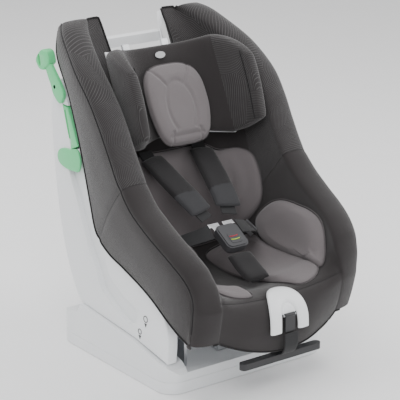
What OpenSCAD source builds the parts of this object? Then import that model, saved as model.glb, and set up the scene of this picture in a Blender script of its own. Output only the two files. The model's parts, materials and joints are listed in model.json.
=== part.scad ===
// Convertible child car seat: a reclining bucket on a base frame, with a sliding headrest and a harness.
// +Z is up, the seat faces -Y, and the origin is the centre of the base's underside.

/* [Base] */
// Width of the base
base_w = 396; // [390:1:402]
// Depth of the base
base_d = 386; // [380:1:392]
// Height of the bottom tray
tray_h = 25; // [20:1:26]
// Thickness of each side frame
frame_t = 24; // [20:1:24]

/* [Recline] */
// Height of the recline centre above the base
recline_z = 430; // [425:1:435]
// Distance of the recline centre from the origin along Y
recline_y = -30; // [-32:1:-28]
// Radius of the recline track
track_r = 340; // [338:1:342]
// Half of the travel that the track allows, in degrees
track_travel = 10; // [10:1:11]

/* [Seat] */
// Thickness of the plastic shell
shell_t = 4; // [3:0.5:4]
// Width of the rolled rim
rim_w = 44; // [40:1:46]
// Thickness of the fabric cover
cover_t = 3; // [2:0.5:3]
// Half width of the hand notch at the top
notch_x = 58; // [54:1:60]

/* [Headrest] */
// Lean of the backrest and of the headrest's slide, in degrees from vertical
back_lean = 26; // [25:0.5:27]
// Height of the headrest along its slide
head_h = 172; // [165:1:176]

/* [Harness] */
// Width of the webbing
web_w = 32; // [28:1:36]
// Thickness of the webbing
web_t = 2; // [1.5:0.5:2.5]

/* [Hidden] */
$fn = 48;

gap = 0.4;             // clearance between neighbours that don't move together
white = "whitesmoke";
black = "#2b2829";
grey = "#7d7779";
green = "#5fd08c";
steel = "silver";

// Seat stations run from the top of the back, round the bend and out to the front lip.
// Floor line of the shell at x = 0: [y, z].
FLOOR = [[232, 650], [205, 598], [172, 530], [140, 460], [112, 390], [87, 315], [67, 245], [40, 190],
    [-5, 160], [-70, 150], [-140, 154], [-200, 168], [-244, 182], [-280, 185], [-300, 166],
    [-305, 130], [-299, 94]];
// Rim line: [y, z, half width].
RIM = [[206, 658, 166], [166, 640, 188], [88, 596, 214], [26, 550, 223], [-14, 500, 224],
    [-42, 452, 223], [-72, 405, 223], [-113, 362, 224], [-155, 335, 223], [-195, 313, 221],
    [-232, 290, 216], [-260, 266, 208], [-274, 240, 201], [-276, 213, 197], [-272, 186, 195],
    [-266, 158, 193], [-258, 130, 191]];
// Lower edge of the cover's outer side: [y, z, x].
HEM = [[226, 640, 160], [196, 598, 182], [134, 530, 195], [104, 460, 197], [80, 388, 197],
    [62, 325, 197], [42, 272, 197], [2, 242, 197], [-48, 226, 197], [-97, 209, 197], [-150, 187, 197],
    [-196, 161, 197], [-230, 143, 196], [-248, 134, 193], [-254, 130, 192], [-256, 127, 191],
    [-256, 124, 190]];
// Foam between shell and cover at each station.
PAD = [20, 26, 32, 34, 32, 28, 22, 17, 14, 13, 13, 12, 10, 7, 5, 4, 4];
LAST = len(FLOOR) - 1;
SECTION_POWER = 3.2;   // squareness of the bucket's cross-section

function knot(P, i) = P[max(0, min(len(P) - 1, i))];
// Smooth curve through the points of P; u counts points from 0.
function spline(P, u) =
    let (i = min(len(P) - 2, floor(u)), t = u - i,
        a = knot(P, i - 1), b = knot(P, i), c = knot(P, i + 1), d = knot(P, i + 2))
    b + (c - a) * t / 2 + (2 * a - 5 * b + 4 * c - d) * t * t / 2
        + (3 * b - a - 3 * c + d) * t * t * t / 2;

// Direction of the floor line at u.
function floor_way(u) =
    let (w = spline(FLOOR, min(LAST, u + 0.2)) - spline(FLOOR, max(0, u - 0.2))) w / norm(w);
// Inner edge of the rim, which comes forward at the front corners; less so for the shell, whose pad is 0.
function rim_in(u, pad) = let (r = spline(RIM, u))
    [r[0] - (pad < 1 ? 16 : 20) * max(0, min(1, (u - 11.5) / 2)), r[1], r[2]];
// A point of the bucket's surface. v is 0 on the centre line and 1 at the rim; pad lifts it inwards.
function bucket(u, v, pad) =
    let (c = spline(FLOOR, u), r = rim_in(u, pad), d = [r[0], r[1]] - c, way = floor_way(u),
        flat = max(0, min(1, (u - 11) / 3)),
        f = pow(sin(90 * v), 2 / SECTION_POWER) * (1 - flat) + v * flat,
        t = (1 - pow(max(0, cos(90 * v)), 2 / SECTION_POWER)) * (1 - flat) + v * v * flat,
        b = c + [way[1], -way[0]] * pad * (1 - t) + d * t)
    [(r[2] - rim_w - min(pad, 12)) * f, b[0], b[1]];
// A point of the rolled rim. s is 0 at its inner edge and 1 at its outer edge.
function roll(u, s, height, inset, pad) =
    let (r = spline(RIM, u), c = spline(FLOOR, u), d = ([r[0], r[1]] - c) / norm([r[0], r[1]] - c),
        back = (r[0] - rim_in(u, pad)[0]) * (1 - s * s),
        inner = r[2] - rim_w - min(pad, 12), outer = r[2] - inset,
        rise = height * sin(180 * s) * max(0, min(1, (13.5 - u) / 2.5)))
    [inner + (outer - inner) * (1 - cos(180 * s)) / 2, r[0] - back + d[0] * rise,
        r[1] + d[1] * rise];
// A point of the cover's outer side. s is 0 at the seam and 1 at the hem.
function skirt(u, s) =
    let (r = spline(RIM, u), h = spline(HEM, u))
    [r[2] + (h[2] - r[2]) * pow(s, 1.6), r[0] + (h[0] - r[0]) * s, r[1] + (h[1] - r[1]) * s];

// Where a station starts at half width x: the hand notch cuts into the top.
function notch_start(x, depth) =
    depth * max(0, min(1, (notch_x + 20 - abs(x)) / 20));

function mirror_row(half) =
    concat([for (i = [len(half) - 1:-1:1]) [-half[i][0], half[i][1], half[i][2]]], half);
function grid_normal(G, i, j) =
    let (a = G[max(0, i - 1)][j], b = G[min(len(G) - 1, i + 1)][j],
        c = G[i][max(0, j - 1)], d = G[i][min(len(G[0]) - 1, j + 1)], n = cross(b - a, d - c))
    n / max(1e-6, norm(n));
function grid_offset(G, t) =
    [for (i = [0:len(G) - 1]) [for (j = [0:len(G[0]) - 1]) G[i][j] + grid_normal(G, i, j) * t]];

// A closed solid between two grids of points that have the same size.
module slab(A, B) {
    m = len(A);
    n = len(A[0]);
    k = m * n;
    points = concat([for (row = A) for (p = row) p], [for (row = B) for (p = row) p]);
    front = [for (i = [0:m - 2]) for (j = [0:n - 2])
        let (a = i * n + j) each [[a, a + 1, a + n + 1], [a, a + n + 1, a + n]]];
    back = [for (f = front) [f[0] + k, f[2] + k, f[1] + k]];
    ends = [for (j = [0:n - 2]) for (i = [0, m - 1])
        let (a = i * n + j) each i == 0
            ? [[a + 1, a, a + k], [a + 1, a + k, a + 1 + k]]
            : [[a, a + 1, a + 1 + k], [a, a + 1 + k, a + k]]];
    sides = [for (i = [0:m - 2]) for (j = [0, n - 1])
        let (a = i * n + j) each j == 0
            ? [[a, a + n, a + n + k], [a, a + n + k, a + k]]
            : [[a + n, a, a + k], [a + n, a + k, a + n + k]]];
    polyhedron(points, concat(front, back, ends, sides));
}

function pad_at(u) = spline(PAD, u);

// Rounded plate between z0 and z1.
module rounded_plate(w, d, r, z0, z1) {
    translate([0, 0, z0]) linear_extrude(z1 - z0) {
        square([w - 2 * r, d], center = true);
        square([w, d - 2 * r], center = true);
        for (x = [-1, 1], y = [-1, 1]) translate([x * (w / 2 - r), y * (d / 2 - r)]) circle(r);
    }
}
// An outline in Y and Z, extruded across X from x0 to x1.
module across(x0, x1, outline) {
    translate([x0, 0, 0]) rotate([90, 0, 90]) linear_extrude(x1 - x0) polygon(outline);
}
// Places children at a point and leans them back from vertical.
module leaned(y, z, lean) {
    translate([0, y, z]) rotate([-lean, 0, 0]) children();
}

// ---- Base ----
SCREW_SPOTS = [[150, 150], [150, -150], [150, 0]];
screw_r = 3;
module screw_places() {
    for (s = SCREW_SPOTS, m = [-1, 1]) translate([m * s[0], s[1], 0]) children();
}
module base_tray() {
    color(white) difference() {
        union() {
            difference() {
                rounded_plate(base_w, base_d, 38, 0, tray_h);
                rounded_plate(base_w - 8, base_d - 8, 34, 4, tray_h + 1);
            }
            screw_places() cylinder(h = 20, r = 8);
        }
        screw_places() translate([0, 0, -1]) cylinder(h = 30, r = screw_r + 0.3);
        screw_places() translate([0, 0, -1]) cylinder(h = 5.2, r = 6.3);
    }
}
// Top outline of the base's side blocks, in Y and Z.
BLOCK = [[-193, 25], [-193, 40], [-186, 50], [-172, 60], [-75, 82], [112, 100], [124, 80], [180, 68],
    [193, 58], [193, 25]];
module base_shell() {
    color(white) difference() {
        intersection() {
            rounded_plate(base_w, base_d, 38, tray_h + gap, 110);
            union() {
                across(-base_w / 2, -150, BLOCK);
                across(150, base_w / 2, BLOCK);
                translate([-151, -193, 20]) cube([302, 14, 22]);
                translate([-151, 179, 20]) cube([302, 14, 38]);
                translate([-151, -180, 20]) cube([302, 360, 10]);
            }
        }
        for (m = [-1, 1]) translate([m * 174 - 14, -150, tray_h - 1]) cube([28, 300, 22]);
        screw_places() translate([0, 0, tray_h - 1]) cylinder(h = 14, r = screw_r - 0.2);
    }
}
module base_screws() {
    color(steel) screw_places() {
        translate([0, 0, 1]) cylinder(h = 3, r = 6);
        cylinder(h = tray_h + 8, r = screw_r - 0.3);
    }
}

// Side frames: an upright that leans back behind the seat, with a foot along the base.
frame_x = base_w / 2 - 6;  // outer face
FRAME_BACK = [[118, 101], [133, 118], [152, 150], [173, 200], [190, 260], [202, 330], [210, 400],
    [214, 460], [212, 500], [205, 530], [200, 545], [190, 554]];
FRAME_FRONT = [[176, 552], [166, 540], [160, 522], [148, 500], [130, 462], [114, 430], [104, 388],
    [84, 330], [62, 284], [42, 245], [20, 206], [-10, 182], [-50, 166], [-100, 153], [-140, 144],
    [-164, 132], [-179, 110], [-184, 84], [-180, 62]];
// Recess for the vehicle's lap belt.
CHANNEL = [[152, 374], [128, 322], [106, 272], [86, 226], [60, 190], [44, 156], [6, 131], [-34, 114],
    [-56, 109], [-74, 116], [-84, 130], [-80, 146], [-60, 153], [-28, 165], [2, 182], [16, 196],
    [30, 232], [40, 262], [70, 330], [96, 390], [112, 394], [118, 374]];
// Outer cheek that runs forward under the cover's edge.
CHEEK = [[106, 390], [88, 394], [66, 352], [48, 318], [26, 280], [-12, 252], [-58, 234], [-104, 215],
    [-142, 194], [-166, 170], [-180, 142], [-186, 112], [-186, 90], [-150, 100], [-50, 140],
    [20, 180], [60, 250], [90, 320]];
// Recess for the green guide.
GROOVE = [[141, 416], [108, 429], [146, 506], [171, 508]];
lock_y = 185;          // hinge of the lock-off lever
lock_z = 540;
pin_r = 4;
frame_deep = 14;       // depth of the recesses, which is also the thickness of the outer layer
module frame_pin_hole() {
    translate([frame_x - frame_t - 1, lock_y, lock_z]) rotate([0, 90, 0])
        cylinder(h = frame_t + 2, r = pin_r);
}
module side_frame() {
    color(white) difference() {
        across(frame_x - frame_t, frame_x - frame_deep, concat(FRAME_BACK, FRAME_FRONT, [[-75, 83]]));
        frame_pin_hole();
    }
}
// Outer layer of the side frame, with the recesses cut through it down to the inner plate.
module frame_cheek() {
    color(white) difference() {
        union() {
            across(frame_x - frame_deep + 0.1, frame_x, concat(FRAME_BACK, FRAME_FRONT, [[-75, 83]]));
            across(frame_x - 6, frame_x, CHEEK);
        }
        across(frame_x - frame_deep - 1, frame_x + 1, CHANNEL);
        across(frame_x - frame_deep - 1, frame_x + 1, GROOVE);
        frame_pin_hole();
    }
}
module frame_cheek_left() { mirror([1, 0, 0]) frame_cheek(); }
module frame_cheek_right() { frame_cheek(); }
module side_frame_left() { mirror([1, 0, 0]) side_frame(); }
module side_frame_right() { side_frame(); }

// Wall between the side frames behind the seat, with a window.
BRACE_LINE = [[150, 154], [171, 204], [187, 262], [199, 330], [203, 352]];
module rear_brace() {
    inner = frame_x - frame_t - 0.1;
    color(white) difference() {
        across(-inner, inner, concat(BRACE_LINE, [for (i = [len(BRACE_LINE) - 1:-1:0])
            BRACE_LINE[i] + [-6, 1.5]]));
        translate([-95, 100, 205]) cube([190, 120, 90]);
    }
}

// Track plates for the recline, with slots that are arcs about the recline centre.
track_x = 118;
track_plate = 6;
axle_r = 5;
axle_front = -16;      // the axles' places about the recline centre, in degrees from straight down
axle_rear = 12;
function on_track(a, r = track_r) = [recline_y + r * sin(a), recline_z - r * cos(a)];
module track_ring(r0, r1, a0, a1, thick) {
    translate([0, recline_y, recline_z]) rotate([0, 90, 0]) difference() {
        intersection() {
            cylinder(h = thick, r = r1, $fn = 120);
            linear_extrude(thick) polygon([[0, 0], for (a = [a0, (a0 + a1) / 2, a1])
                2 * r1 * [cos(a), sin(a)]]);
        }
        translate([0, 0, -1]) cylinder(h = thick + 2, r = r0, $fn = 120);
    }
}
module rod(y, z, x0, x1, r) {
    translate([x0, y, z]) rotate([0, 90, 0]) cylinder(h = x1 - x0, r = r);
}
module track_slot(a0, a1) {
    slot_r = axle_r + 0.3;
    over = asin(slot_r / track_r);  // room for the axle past each end of its travel
    translate([-1, 0, 0]) track_ring(track_r - slot_r, track_r + slot_r, a0 - over, a1 + over,
        track_plate + 2);
}
module recline_rail() {
    color(steel) translate([track_x, 0, 0]) difference() {
        union() {
            track_ring(track_r - 12, track_r + 12, axle_front - 3, axle_rear + track_travel + 3,
                track_plate);
            across(0, track_plate, [[-145, 31], [-145, 84], [88, 84], [88, 31]]);
        }
        track_slot(axle_front, axle_front + track_travel);
        track_slot(axle_rear, axle_rear + track_travel);
    }
}
module recline_rail_left() { mirror([1, 0, 0]) recline_rail(); }
module recline_rail_right() { recline_rail(); }
// Toothed bar between the rails that the recline bolt locks into.
module recline_rack() {
    color(steel) difference() {
        translate([-22, -120, 31]) cube([44, 100, 26]);
        for (i = [0:3]) translate([-14, -112 + i * 22, 45]) cube([28, 14, 13]);
    }
}

// Green guide for the shoulder belt, its hook and the lock-off lever.
module belt_guide() {
    color(green) difference() {
        union() {
            across(frame_x - 13.6, frame_x + 1.4, [[141, 419], [116, 431], [150, 503], [169.5, 505.5]]);
            across(frame_x + 0.4, frame_x + 1.6, [[112, 378], [150, 376], [174, 378], [188, 386],
                [192, 396], [188, 408], [178, 416], [140, 420], [112, 424], [108, 400]]);
        }
        across(frame_x - 8, frame_x + 3, [[138, 426], [145, 424], [165, 498], [158, 499]]);
    }
}
module belt_guide_left() { mirror([1, 0, 0]) belt_guide(); }
module belt_guide_right() { belt_guide(); }
module lockoff_pin() {
    color(steel) translate([frame_x - frame_t, lock_y, lock_z]) rotate([0, 90, 0])
        cylinder(h = frame_t + 9, r = pin_r - 0.05);
}
module lockoff_pin_left() { mirror([1, 0, 0]) lockoff_pin(); }
module lockoff_pin_right() { lockoff_pin(); }
LEVER = [[217, 573], [202, 584], [188, 572], [172, 556], [162, 544], [154, 531], [160, 516], [168, 509],
    [179, 513], [193, 526], [200, 541], [211, 558]];
module lockoff() {
    color(green) difference() {
        across(frame_x + 0.5, frame_x + 9, LEVER);
        translate([frame_x, lock_y, lock_z]) rotate([0, 90, 0]) cylinder(h = 20, r = pin_r);
    }
}
module lockoff_left() { mirror([1, 0, 0]) lockoff(); }
module lockoff_right() { lockoff(); }
HOOK = [[250, 585], [240, 599], [226, 609], [211, 608], [204, 598], [202, 584.2], [217, 573.2],
    [221, 568], [236, 567], [246, 575]];
module belt_hook() {
    color(green) difference() {
        across(frame_x - 8, frame_x + 12, HOOK);
        across(frame_x + 2, frame_x + 13, [[232, 578], [238, 578], [242, 594], [236, 597]]);
    }
}
module belt_hook_left() { mirror([1, 0, 0]) belt_hook(); }
module belt_hook_right() { belt_hook(); }

// Raised marks that show the belt's path: a ring and an arrow, twice on each side.
module mark(y, z, size) {
    translate([frame_x + 0.05, y, z]) rotate([90, 0, 90]) linear_extrude(0.6) {
        difference() {
            circle(size);
            circle(size - 1.6);
        }
        translate([0, -size - 8]) polygon([[-4, 6], [4, 6], [0, -2]]);
    }
}
module orientation_marks() {
    color(black) for (m = [0, 1]) mirror([m, 0, 0]) {
        mark(-112, 136, 7);
        mark(-92, 104, 6);
    }
}

// ---- Seat ----
COUNT = 11;            // steps across half of a section
STEPS = 32;            // steps along the seat
function station(i, u0 = 0, u1 = LAST) = u0 + (u1 - u0) * i / STEPS;
function start_at(i, x, depth) =
    let (u = station(i)) u + notch_start(x, depth) * max(0, 1 - u / 3.2);

function shell_row(i, pad, height, inset) = mirror_row(concat(
    [for (j = [0:COUNT]) let (v = j / COUNT, u = start_at(i, bucket(station(i), v, pad)[0], 1.5))
        bucket(u, v, pad)],
    [for (k = [1:3]) roll(station(i), k / 3, height, inset, pad)]));
module seat_shell() {
    grid = [for (i = [0:STEPS]) shell_row(i, 0, 4, 9)];
    color(white) slab(grid, grid_offset(grid, -shell_t));
}
module foam_liner() {
    function row(i, up) = let (s = station(i), pad = up ? max(5, pad_at(s) - 2) : 1.5)
        mirror_row([for (j = [0:9]) let (v = j / COUNT, u = start_at(i, bucket(s, v, pad)[0], 1.7))
            bucket(u, v, pad)]);
    color("gainsboro") slab([for (i = [1:STEPS - 7]) row(i, true)],
        [for (i = [1:STEPS - 7]) row(i, false)]);
}
function cover_row(i) = let (s = station(i), pad = pad_at(s)) mirror_row(concat(
    [for (j = [0:COUNT]) let (v = j / COUNT, u = start_at(i, bucket(s, v, pad)[0], 1.5))
        bucket(u, v, pad_at(u))],
    [for (k = [1:4]) roll(s, k / 4, 11, 0, pad)],
    [for (k = [1:4]) skirt(s, k / 4)]));
skin = 1.2;            // space under the cover
module seat_cover() {
    grid = [for (i = [0:STEPS]) cover_row(i)];
    color(black) slab(grid_offset(grid, cover_t + skin), grid_offset(grid, skin));
}

// A pad on the cover's surface between stations u0 and u1 and between v0 and v1.
// It is thin at its edges and thick in the middle.
function dome(a, low) = low + (1 - low) * pow(max(0, 1 - pow(abs(2 * a - 1), 4)), 0.5);
function lining(u, v) = let (s = sign(v), p = bucket(u, abs(v), pad_at(u))) [s < 0 ? -p[0] : p[0], p[1], p[2]];
module surface_pad(u0, u1, v0, v1, thick, rows, cols, low = 0.3) {
    grid = [for (i = [0:rows]) [for (j = [0:cols])
        lining(u0 + (u1 - u0) * i / rows, v0 + (v1 - v0) * j / cols)]];
    base = grid_offset(grid, cover_t + skin + 1.6);
    slab([for (i = [0:rows]) [for (j = [0:cols])
        base[i][j] + grid_normal(grid, i, j) * thick * dome(i / rows, low) * dome(j / cols, low)]],
        base);
}
module body_cushion() { color(grey) surface_pad(4.1, 6.9, -0.62, 0.62, 22, 10, 16); }
module seat_cushion() {
    color(grey) for (m = [-1, 1]) surface_pad(7.5, 12.2, m * 0.27 - 0.25, m * 0.27 + 0.25, 20, 12, 10);
}
module hip_wings() {
    color(grey) for (m = [-1, 1]) surface_pad(7.2, 10.9, m * 0.8 - 0.16, m * 0.8 + 0.16, 18, 9, 6);
}
module top_rail() {
    color(white) difference() {
        translate([-86, 214, 592]) cube([172, 22, 20]);
        translate([-70, 220, 590]) cube([140, 10, 17]);
    }
}

// ---- Recline carriage under the seat ----
bracket_x = 108;
bracket_t = 8;
BRACKET = [[-190, 158], [-146, 156], [-80, 154], [-20, 161], [16, 172], [32, 196], [50, 196], [56, 160],
    [54, 96], [46, 86], [34, 86], [24, 92], [-110, 92], [-118, 90], [-130, 90], [-136, 98], [-150, 140]];
bolt_y = -94;
module slider_bracket() {
    front = on_track(axle_front);
    rear = on_track(axle_rear);
    color(white) difference() {
        union() {
            across(bracket_x, bracket_x + bracket_t, BRACKET);
            across(-bracket_x - bracket_t, -bracket_x, BRACKET);
            translate([-bracket_x - 1, bolt_y - 24, 93]) cube([2 * bracket_x + 2, 48, 13]);
        }
        translate([-10.4, bolt_y - 10.4, 90]) cube([20.8, 20.8, 20]);
        rod(front[0], front[1], -bracket_x - 20, bracket_x + 20, axle_r);
        rod(rear[0], rear[1], -bracket_x - 20, bracket_x + 20, axle_r);
    }
}
module slider_axles() {
    color(steel) for (a = [axle_front, axle_rear])
        rod(on_track(a)[0], on_track(a)[1], -track_x - 9, track_x + 9, axle_r - 0.05);
}
module recline_bolt() {
    color(steel) translate([-10, bolt_y - 10, 66]) cube([20, 20, 52]);
}
module recline_handle() {
    color(black) {
        difference() {
            translate([0, -290, 66]) rounded_plate(196, 18, 8.9, 0, 13);
            translate([0, -290, 64]) rounded_plate(150, 6, 2.9, 0, 10);
        }
        translate([-9, -283, 80]) cube([18, 175, 9]);
        translate([-9, -286, 78.9]) cube([18, 8, 10.1]);
    }
}

// ---- Headrest ----
head_y = 67;           // foot of the headrest's back line when lowered
head_z = 457 + head_h - 172;
module on_slide() { leaned(head_y, 457, back_lean) children(); }
rail_x = 40;
module headrest_rails() {
    color(steel) on_slide() for (m = [0, 1]) mirror([m, 0, 0]) difference() {
        union() {
            translate([rail_x, 14, -12]) cube([16, 6, 190]);
            translate([rail_x + 5, 19, -12]) cube([6, 8, 12]);
            translate([rail_x + 5, 19, 114]) cube([6, 6, 12]);
        }
        for (i = [0:4]) translate([rail_x - 1, 13, 42 + i * 28]) cube([5, 8, 10]);
    }
}
// A point of the headrest, in its leaned frame: r runs up and v from the middle to a wing's edge.
// side is 0 on the back and 1 on the front.
function head_point(r, v, side) =
    let (a = abs(v), f = pow(sin(90 * a), 0.62), t = 1 - pow(max(0, cos(90 * a)), 0.9),
        low = -20 - 26 * min(1, a * 2) + 8 * max(0, a - 0.7) / 0.3,
        high = head_h - 12 - 66 * pow(max(0, t - 0.25) / 0.75, 1.6),
        s = low + (high - low) * r, deep = 104 + 14 * sin(120 * r),
        thick = 12 + 10 * min(1, t * 3) - 12 * pow(a, 6),
        tx = cos(90 * pow(a, 0.9)), ty = sin(90 * pow(a, 0.9)),
        x = 143 * f, y = -12 - deep * t)
    [(v < 0 ? -1 : 1) * (x + ty * thick * (1 - 2 * side)), y + tx * thick * (1 - 2 * side), s];
HEAD_ROWS = 12;
HEAD_COLS = 24;
frame_v = 0.5;        // the plastic back reaches this far towards the wings
head_t = 4;
function head_row(i, cols, vmax, side, depth) = [for (j = [0:cols])
    let (v = vmax * (2 * j / cols - 1), p = head_point(i / HEAD_ROWS, v, side),
        cut = abs(v) < frame_v + 0.01 ? depth : 0) p - [0, cut, 0]];
function head_grid(cols, vmax, side, depth = 0) =
    [for (i = [HEAD_ROWS:-1:0]) head_row(i, cols, vmax, side, depth)];
module headrest_frame() {
    color(white) on_slide() slab(head_grid(12, frame_v, 0, head_t), head_grid(12, frame_v, 0));
}
module headrest_cover() {
    color(black) on_slide() slab(head_grid(HEAD_COLS, 1, 1), head_grid(HEAD_COLS, 1, 0, head_t + 0.3));
}
module head_pillow() {
    back = [for (i = [0:10]) [for (j = [0:10]) [-68 + 13.6 * j, -32, head_h - 46 - 17.4 * i]]];
    color(grey) on_slide() slab([for (i = [0:10]) [for (j = [0:10])
        back[i][j] - [0, 24 * dome(i / 10, 0.2) * dome(j / 10, 0.2), 0]]], back);
}
module badge() {
    color("silver") on_slide() translate([0, -26, head_h - 34]) rotate([90, 0, 0])
        scale([1.7, 1, 1]) cylinder(h = 1.2, r = 7);
}
module headrest_sliders() {
    color(white) on_slide() for (m = [0, 1]) mirror([m, 0, 0]) difference() {
        translate([rail_x - 6, 0.2, 6]) cube([28, 22, 28]);
        translate([rail_x - 0.4, 13.6, 5]) cube([16.8, 6.8, 30]);
        translate([rail_x + 4, 20, 5]) cube([8, 5, 30]);
    }
}
module headrest_handle() {
    color(white) on_slide() difference() {
        translate([-30, 0.8, 118]) cube([60, 10, 26]);
        translate([-24, 4, 117]) cube([48, 10, 20]);
    }
}
module headrest_lock_bar() {
    color(steel) on_slide() {
        translate([-rail_x - 4, 8, 60]) cube([2 * rail_x + 8, 5.4, 7]);
        translate([-6, 8.2, 66]) cube([12, 2.4, 50]);
    }
}

// ---- Harness ----
// A ribbon along a path, facing a direction, between heights t0 and t1 above the path.
module ribbon(path, width, t0, t1, face) {
    last = len(path) - 1;
    grid = [for (i = [0:last])
        let (t = path[min(last, i + 1)] - path[max(0, i - 1)], c = cross(face, t), w = c / norm(c))
        [path[i] - w * width / 2, path[i] - w * width / 6, path[i] + w * width / 6,
            path[i] + w * width / 2]];
    slab(grid_offset(grid, t1), grid_offset(grid, t0));
}
SHOULDER = [[64, 70, 408], [63, 57, 396], [57, 28, 377.5], [51, -4, 358], [45, -31, 341.5],
    [39, -57, 325], [33, -78, 310.5], [28, -90, 301]];
REAR_STRAP = [[64, 141, 428], [56, 134, 404], [44, 123, 370], [32, 112, 335], [20, 102.5, 303]];
module shoulder_strap() {
    color(black) {
        ribbon(SHOULDER, web_w, 0, web_t, [0, -0.5, 0.86]);
        ribbon(REAR_STRAP, web_w, 0, web_t, [0, -1, 0.3]);
    }
}
module shoulder_strap_left() { mirror([1, 0, 0]) shoulder_strap(); }
module shoulder_strap_right() { shoulder_strap(); }
module shoulder_pad() {
    color(black) ribbon([for (i = [1:6]) SHOULDER[i] + [0, -2, 0]], 58, web_t + 1.2, web_t + 11,
        [0, -0.5, 0.86]);
}
module shoulder_pad_left() { mirror([1, 0, 0]) shoulder_pad(); }
module shoulder_pad_right() { shoulder_pad(); }
LAP = [[33, -112, 281], [52, -106, 276], [78, -90, 266], [102, -66, 250], [118, -40, 234]];
module lap_strap() {
    color(black) ribbon([for (i = [len(LAP) - 1:-1:0]) LAP[i]], web_w, 0, web_t, [0, -0.6, 0.8]);
}
module lap_strap_left() { mirror([1, 0, 0]) lap_strap(); }
module lap_strap_right() { lap_strap(); }
module hip_anchors() {
    color(steel) for (m = [0, 1]) mirror([m, 0, 0]) translate([124, -32, 237]) rotate([40, 0, 35])
        difference() {
            cube([4, 30, 22], center = true);
            cube([8, 18, 6], center = true);
        }
}
buckle_y = -132;
buckle_z = 268;
module at_buckle() { translate([0, buckle_y, buckle_z]) rotate([31.4, 0, 0]) children(); }
module buckle_body() {
    color("#3a393b") at_buckle() difference() {
        union() {
            rounded_plate(52, 60, 12, -8, 8);
            rounded_plate(46, 54, 10, 7.9, 10);
        }
        translate([0, -8, 0]) rounded_plate(24.8, 24.8, 4.4, 1, 11);
        for (m = [-1, 1]) translate([m * 15 - 9.4, 17, -1.6]) cube([18.8, 20, 3.2]);
    }
}
module buckle_button() {
    color("#a8242c") at_buckle() translate([0, -8, 0]) rounded_plate(24, 24, 4, 5.6, 10.6);
}
module buckle_tongues() {
    color(steel) at_buckle() for (m = [-1, 1]) {
        translate([m * 15 - 9, 18, -1.2]) cube([18, 16, 2.4]);
        translate([m * 18 - 13, 33.9, -1.2]) cube([26, 10, 2.4]);
    }
}
CROTCH = [[0, -223, 212], [0, -210, 218], [0, -190, 227], [0, -170, 238.5], [0, -158, 245]];
module crotch_strap() {
    color(black) ribbon([for (i = [len(CROTCH) - 1:-1:0]) CROTCH[i]], 30, -9, -9 + web_t,
        [0, -0.5, 0.86]);
}
module crotch_pad() {
    color(black) ribbon([for (i = [len(CROTCH) - 1:-1:0]) CROTCH[i]], 54, -6, 4, [0, -0.5, 0.86]);
}
// Horseshoe on the front lip, drawn on the lip's surface. a runs round it from leg to leg.
function lip(x, u, lift) =
    let (b = spline(FLOOR, u), w = floor_way(u), n = [w[1], -w[0]]) [x, each b + n * (pad_at(u) + lift)];
function shoe(a, out) =
    let (c = cos(a), s = sin(a), x = (out ? 46 : 20) * (abs(a - 90) > 89 ? sign(c) : c),
        top = (out ? 12.55 : 13.55), u = 14.9 - (14.9 - top) * pow(max(0, s), 0.7)) [x, u];
module adjuster_housing() {
    STEP = 15;
    rows = [for (a = [180:-STEP:0]) a];
    function at(a, k, lift) = let (o = shoe(a, true), i = shoe(a, false), q = i + (o - i) * k / 3)
        lip(q[0], q[1], lift + (k == 0 || k == 3 ? 0 : 1));
    color(white) slab([for (a = rows) [for (k = [0:3]) at(a, k, cover_t + 8)]],
        [for (a = rows) [for (k = [0:3]) at(a, k, cover_t + 2.4)]]);
}
lever_y = -307;
lever_z = 182;
module adjuster_lever() {
    color("#3a393b") difference() {
        union() {
            rod(lever_y - 8, lever_z - 18, -12, 12, 4.5);
            translate([-12, lever_y - 12, lever_z - 50]) cube([24, 5, 32]);
        }
        rod(lever_y - 8, lever_z - 18, -13, 13, 2.05);
    }
}
module adjuster_pin() { color(steel) rod(lever_y - 8, lever_z - 18, -15, 15, 2); }
module adjuster_strap() {
    color(black) {
        ribbon([[0, -321, 130], [0, -322, 118], [0, -321, 104], [0, -316, 92], [0, -308, 84]],
            web_w, 0, web_t, [0, -1, 0]);
        ribbon([[0, 96.5, 268], [0, 82, 232], [0, 62, 192], [0, 36, 161], [0, 0, 147], [0, -70, 141],
            [0, -140, 144], [0, -196, 156], [0, -236, 168]], web_w, 0, web_t, [0, -0.3, 1]);
    }
}
module splitter_plate() {
    color(steel) leaned(99.5, 286, 16) difference() {
        translate([-34, 0, -14]) cube([68, 3, 28]);
        translate([-20, -1, -9]) cube([40, 5, 5]);
    }
}

base_tray();
base_shell();
side_frame_left();
side_frame_right();
frame_cheek_left();
frame_cheek_right();
rear_brace();
recline_rail_left();
recline_rail_right();
recline_rack();
belt_guide_left();
belt_guide_right();
belt_hook_left();
belt_hook_right();
lockoff_pin_left();
lockoff_pin_right();
lockoff_left();
lockoff_right();
orientation_marks();
base_screws();
seat_shell();
foam_liner();
seat_cover();
top_rail();
slider_bracket();
slider_axles();
headrest_rails();
body_cushion();
seat_cushion();
hip_wings();
shoulder_strap_left();
shoulder_strap_right();
shoulder_pad_left();
shoulder_pad_right();
lap_strap_left();
lap_strap_right();
hip_anchors();
buckle_body();
buckle_button();
buckle_tongues();
crotch_strap();
crotch_pad();
adjuster_housing();
adjuster_lever();
adjuster_pin();
adjuster_strap();
splitter_plate();
recline_handle();
recline_bolt();
headrest_frame();
headrest_cover();
head_pillow();
badge();
headrest_sliders();
headrest_handle();
headrest_lock_bar();
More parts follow.
